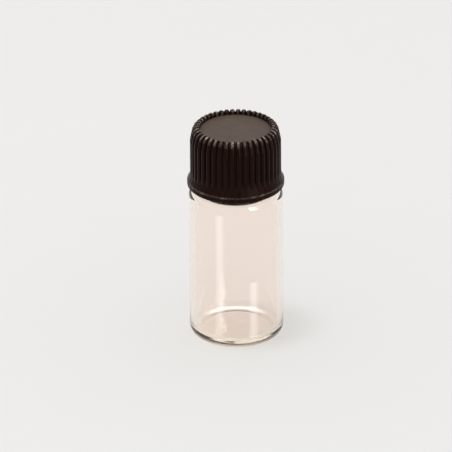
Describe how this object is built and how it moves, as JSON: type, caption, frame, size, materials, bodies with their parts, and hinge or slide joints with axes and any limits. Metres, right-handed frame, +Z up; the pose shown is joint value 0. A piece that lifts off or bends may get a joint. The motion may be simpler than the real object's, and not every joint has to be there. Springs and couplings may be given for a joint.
{
  "type": "glass sample vial",
  "caption": "Small clear glass sample vial with a straight body, a threaded neck and a dark ribbed screw cap with a liner, which unscrews and rises along its thread.",
  "frame": {"origin": "centre of the foot of the glass, on the plane that the vial stands on", "axes": "+Z up along the axis of the vial, from the foot to the cap; +X and +Y across it, and the thread of the glass ends nearest the lip on +X"},
  "size_m": [0.0166, 0.0166, 0.0386],
  "materials": {
    "clear_glass": "clear, fire-polished",
    "cap_plastic": "moulded, glossy ribs and a satin top",
    "liner_foam": "smooth skin on soft foam"
  },
  "bodies": {
    "vial": {"glass_vial": "clear_glass"},
    "liner": {"cap_liner": "liner_foam"},
    "cap": {"screw_cap": "cap_plastic"}
  },
  "joints": [
    {"name": "cap_lift", "type": "slide", "parent": "vial", "child": "liner", "axis": [0, 0, 1], "range_m": [0, 0.01058]},
    {"name": "cap_turn", "type": "hinge", "parent": "liner", "child": "cap", "pos_m": [0, 0, 0.0333], "axis": [0, 0, 1], "range_deg": [0, 1800]}
  ],
  "couplings": [
    {"joint": "cap_turn", "follows": "cap_lift", "rad_per_m": 2968.4}
  ]
}
